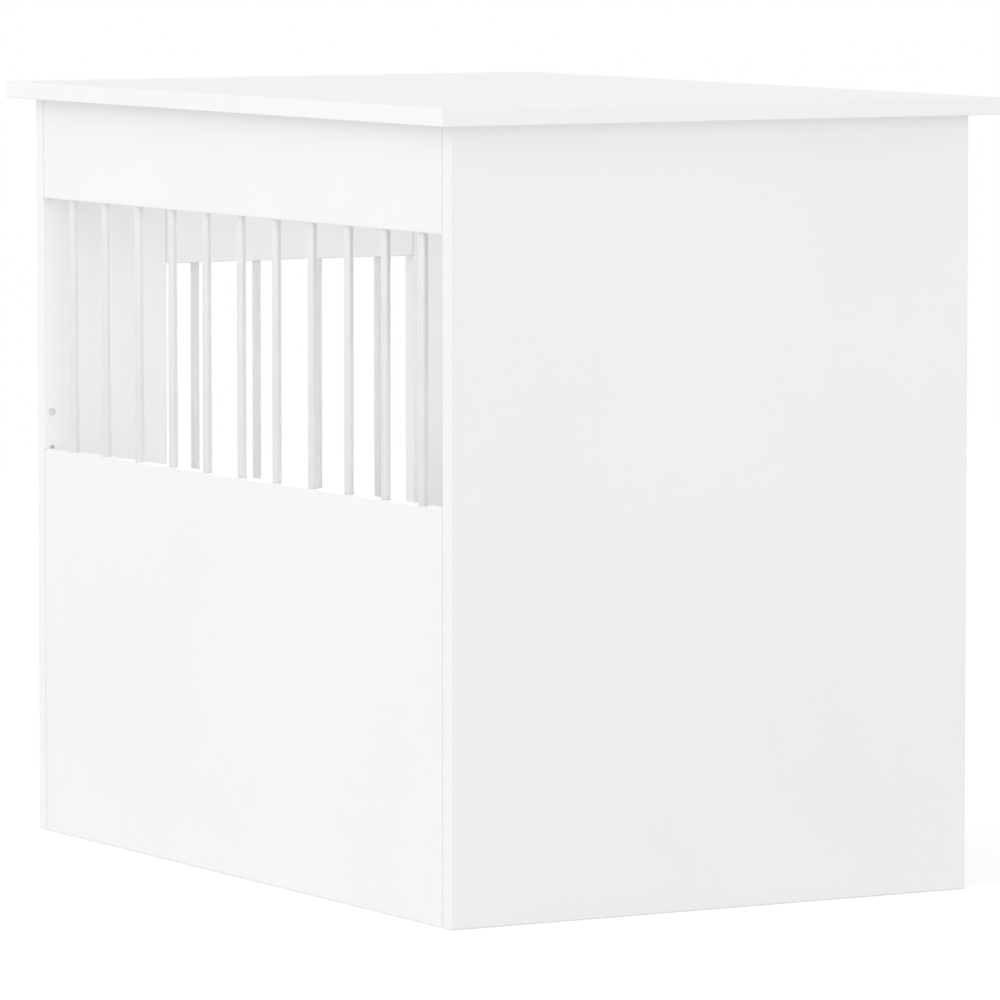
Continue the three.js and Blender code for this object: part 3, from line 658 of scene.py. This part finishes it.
def hinge_screws(node, hand):
    low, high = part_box(node)
    edge = high[0] if hand > 0 else low[0]
    reach = (high[2] - low[2]) / 2 - HINGE_SCREW_EDGE
    for i in (-1, 0, 1):
        inset = HINGE_SCREW_INSET + (HINGE_SCREW_STAGGER if i == 0 else 0)
        z = (low[2] + high[2]) / 2 + i * reach
        make_screw(node, edge - hand * inset, z, turn=0.5 + 0.9 * i + 0.3 * hand)


def make_cam(node, place, axis, index):
    """A cam lock in its bore: a die-cast drum with a cross recess, just below the board's face."""
    points, faces = driven_head(CAM_PROFILE, *CAM_CROSS)
    points = spun(points - np.array([0, 0, CAM_SUNK]), 0.35 + 0.5 * index)
    cam = mesh_object(f"cam_lock_{node}_{index}", placed(points, place, axis), faces, die_cast_zinc)
    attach(cam, BODY_OF[node])


def make_cams():
    top_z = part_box("side_rail_left")[1][2]
    for side, axis in (("left", "x"), ("right", "-x")):
        for node in (f"side_rail_{side}", f"side_panel_{side}"):
            low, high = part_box(node)
            x = high[0] if side == "left" else low[0]
            ends = (low[1] + CAM_SETBACK, high[1] - CAM_SETBACK)
            if "rail" in node:
                spots = [(y, top_z - CAM_EDGE) for y in ends]
                spots += [(way * CAM_SPREAD / 2, top_z - CAM_SETBACK) for way in (-1, 1)]
            else:
                spots = [(y, z) for y in ends for z in (low[2] + CAM_EDGE, high[2] - CAM_EDGE)]
            for i, (y, z) in enumerate(spots):
                make_cam(node, (x, y, z), axis, i)
    back_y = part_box("back_panel")[0][1]
    for i, way in enumerate((-1, 1)):
        make_cam("back_panel", (way * CAM_SPREAD_BACK / 2, back_y, top_z - CAM_SETBACK), "-y", i)
    for node, z in (("front_top_rail", top_z - CAM_END), ("front_bottom_rail", CAM_END)):
        low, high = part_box(node)
        for i, x in enumerate((low[0] + CAM_SETBACK, high[0] - CAM_SETBACK)):
            make_cam(node, (x, high[1], z), "y", i)
    low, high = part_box("floor_panel")
    spots = [(x, (low[1] + high[1]) / 2 + way * CAM_SPREAD_FLOOR / 2)
             for x in (low[0] + CAM_SETBACK, high[0] - CAM_SETBACK) for way in (-1, 1)]
    for i, (x, y) in enumerate(spots):
        make_cam("floor_panel", (x, y, low[2]), "-z", i)


def make_cups():
    """A plastic cup in each spare drilling of the posts: outer wall, rounded lip, inner wall and floor,
    turned about the drilling's axis."""
    face_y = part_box("front_post_left")[1][1]
    for side in ("left", "right"):
        node = f"front_post_{side}"
        x = middle(f"side_panel_{side}")[0][0]
        for z, diameter in SPARE_DRILLINGS:
            outer = diameter / 2 - CUP_PLAY
            inner = outer - CUP_WALL
            profile = rounded([(0, -CUP_DEPTH - CUP_WALL), (outer, -CUP_DEPTH - CUP_WALL), (outer, 0),
                               (inner, 0), (inner, -CUP_DEPTH), (0, -CUP_DEPTH)], CUP_LIP)
            points, faces = turned_surface(profile, ROUND_SIDES)
            name = f"drilling_cup_{side}_{round(z / MM)}"
            cup = mesh_object(name, placed(points, (x, face_y, z), "y"), faces, white_polypropylene)
            ride_with(cup, node, stands_for=False)


# ---------------------------------------------------------------- floor, light and camera

def seen_straight(tree):
    """1 for a ray from the camera, a reflection or a refraction, and 0 for one that only gathers light."""
    path = add(tree, "LightPath")
    mirrored = math_node(tree, "MAXIMUM", path.outputs["Is Glossy Ray"], path.outputs["Is Transmission Ray"])
    return math_node(tree, "MAXIMUM", path.outputs["Is Camera Ray"], mirrored)


def make_floor():
    """A pale floor that lights the object as a surface of its albedo. To the camera and in reflections it
    shines by its glow more, so that it is white where nothing shades it and keeps the shadow."""
    material, tree, output = new_material("pale_studio_floor")
    matt = add(tree, "BsdfDiffuse", None, Color=(FLOOR_ALBEDO, FLOOR_ALBEDO, FLOOR_ALBEDO, 1.0))
    glow = add(tree, "Emission", None, Color=(1.0, 1.0, 1.0, 1.0),
               Strength=math_node(tree, "MULTIPLY", seen_straight(tree), FLOOR_GLOW))
    both = add(tree, "AddShader", None, i0=matt.outputs[0], i1=glow.outputs[0])
    tree.links.new(both.outputs[0], output.inputs["Surface"])
    points = np.array([(-1, -1, 0), (1, -1, 0), (1, 1, 0), (-1, 1, 0)]) * FLOOR_HALF
    mesh_object("studio_floor", points, [(0, 1, 2, 3)], material, smooth=False)


def make_world():
    """An even studio dome: white to the camera and in reflections, and of its own strength as light."""
    world = bpy.data.worlds.new("studio_dome")
    bpy.context.scene.world = world
    world.use_nodes = True
    tree = world.node_tree
    tree.nodes.clear()
    level = add(tree, "Mix", {"data_type": "FLOAT"}, i0=seen_straight(tree), i2=DOME_STRENGTH, i3=1.0)
    sky = add(tree, "Background", None, Color=(1.0, 1.0, 1.0, 1.0), Strength=level.outputs[0])
    output = tree.nodes.new("ShaderNodeOutputWorld")
    tree.links.new(sky.outputs[0], output.inputs["Surface"])


def area_lamp(name, place, way, width, depth, watts):
    """A rectangular lamp at place, whose back faces way."""
    data = bpy.data.lights.new(name, "AREA")
    data.shape = "RECTANGLE"
    data.size = width
    data.size_y = depth
    data.energy = watts
    lamp = bpy.data.objects.new(name, data)
    lamp.location = place
    lamp.rotation_euler = Vector(way).to_track_quat("Z", "Y").to_euler()
    bpy.context.scene.collection.objects.link(lamp)
    return lamp


def make_lamps():
    """The softboxes and the cabin's panels. A lamp of P watts lights a far surface by P / (pi d^2), and a
    white surface reads as white at pi watts per square metre, so a softbox has share * pi^2 * d^2 watts."""
    for name, (azimuth, elevation, distance, side, share) in SOFTBOXES.items():
        a, e = math.radians(azimuth), math.radians(elevation)
        way = np.array([math.sin(a) * math.cos(e), -math.cos(a) * math.cos(e), math.sin(e)])
        area_lamp(name, AIM + distance * way, way, side, side, share * (math.pi * distance) ** 2)
    for name, panel in CABIN_PANELS.items():
        area_lamp(name, *panel).visible_camera = False


def make_camera():
    data = bpy.data.cameras.new("camera")
    data.lens = CAMERA_LENS
    data.sensor_width = CAMERA_SENSOR
    data.clip_end = CAMERA_REACH
    camera = bpy.data.objects.new("camera", data)
    camera.location = CAMERA_PLACE
    camera.rotation_euler = (math.radians(90 - CAMERA_TILT), 0, math.radians(180 - CAMERA_YAW))
    bpy.context.scene.collection.objects.link(camera)
    bpy.context.scene.camera = camera


finish_boards()
make_bars()
make_hinges()
make_latch()
make_cams()
make_cups()
make_floor()
make_world()
make_lamps()
make_camera()

bpy.context.scene.view_settings.view_transform = "Standard"
